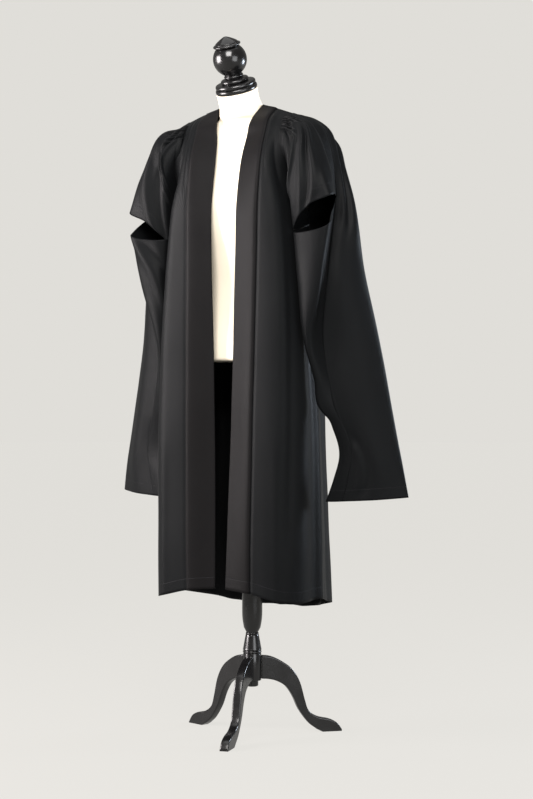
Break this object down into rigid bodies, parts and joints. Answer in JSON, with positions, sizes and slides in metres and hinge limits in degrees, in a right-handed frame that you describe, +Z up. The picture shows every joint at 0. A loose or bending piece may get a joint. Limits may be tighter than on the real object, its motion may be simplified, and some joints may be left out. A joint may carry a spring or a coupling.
{
  "type": "graduation gown on a dress form",
  "caption": "Open black academic gown with long closed sleeves, slit at the elbow, worn by a limbless dress form on a turned tripod stand.",
  "frame": {"origin": "on the floor under the middle of the whole", "axes": "+Z up, -Y the way the gown's front faces, +X towards the viewer's right when looking at the front"},
  "size_m": [0.8118, 0.385, 1.6873],
  "materials": {
    "gown_cloth": "fine twill, soft sheen",
    "form_cover": "stretched cotton jersey, matte",
    "black_paint": "satin black paint on turned wood"
  },
  "bodies": {
    "root": {"back_left": "gown_cloth", "back_right": "gown_cloth", "facing_left": "gown_cloth", "facing_right": "gown_cloth", "front_left": "gown_cloth", "front_right": "gown_cloth", "neck_facing": "gown_cloth", "sleeve_back_left": "gown_cloth", "sleeve_back_right": "gown_cloth", "sleeve_lower_left": "gown_cloth", "sleeve_lower_right": "gown_cloth", "sleeve_upper_left": "gown_cloth", "sleeve_upper_right": "gown_cloth", "yoke": "gown_cloth", "torso": "form_cover", "neck_cap": "black_paint", "finial": "black_paint", "column": "black_paint", "hub": "black_paint", "leg_1": "black_paint", "leg_2": "black_paint", "leg_3": "black_paint"}
  },
  "joints": []
}
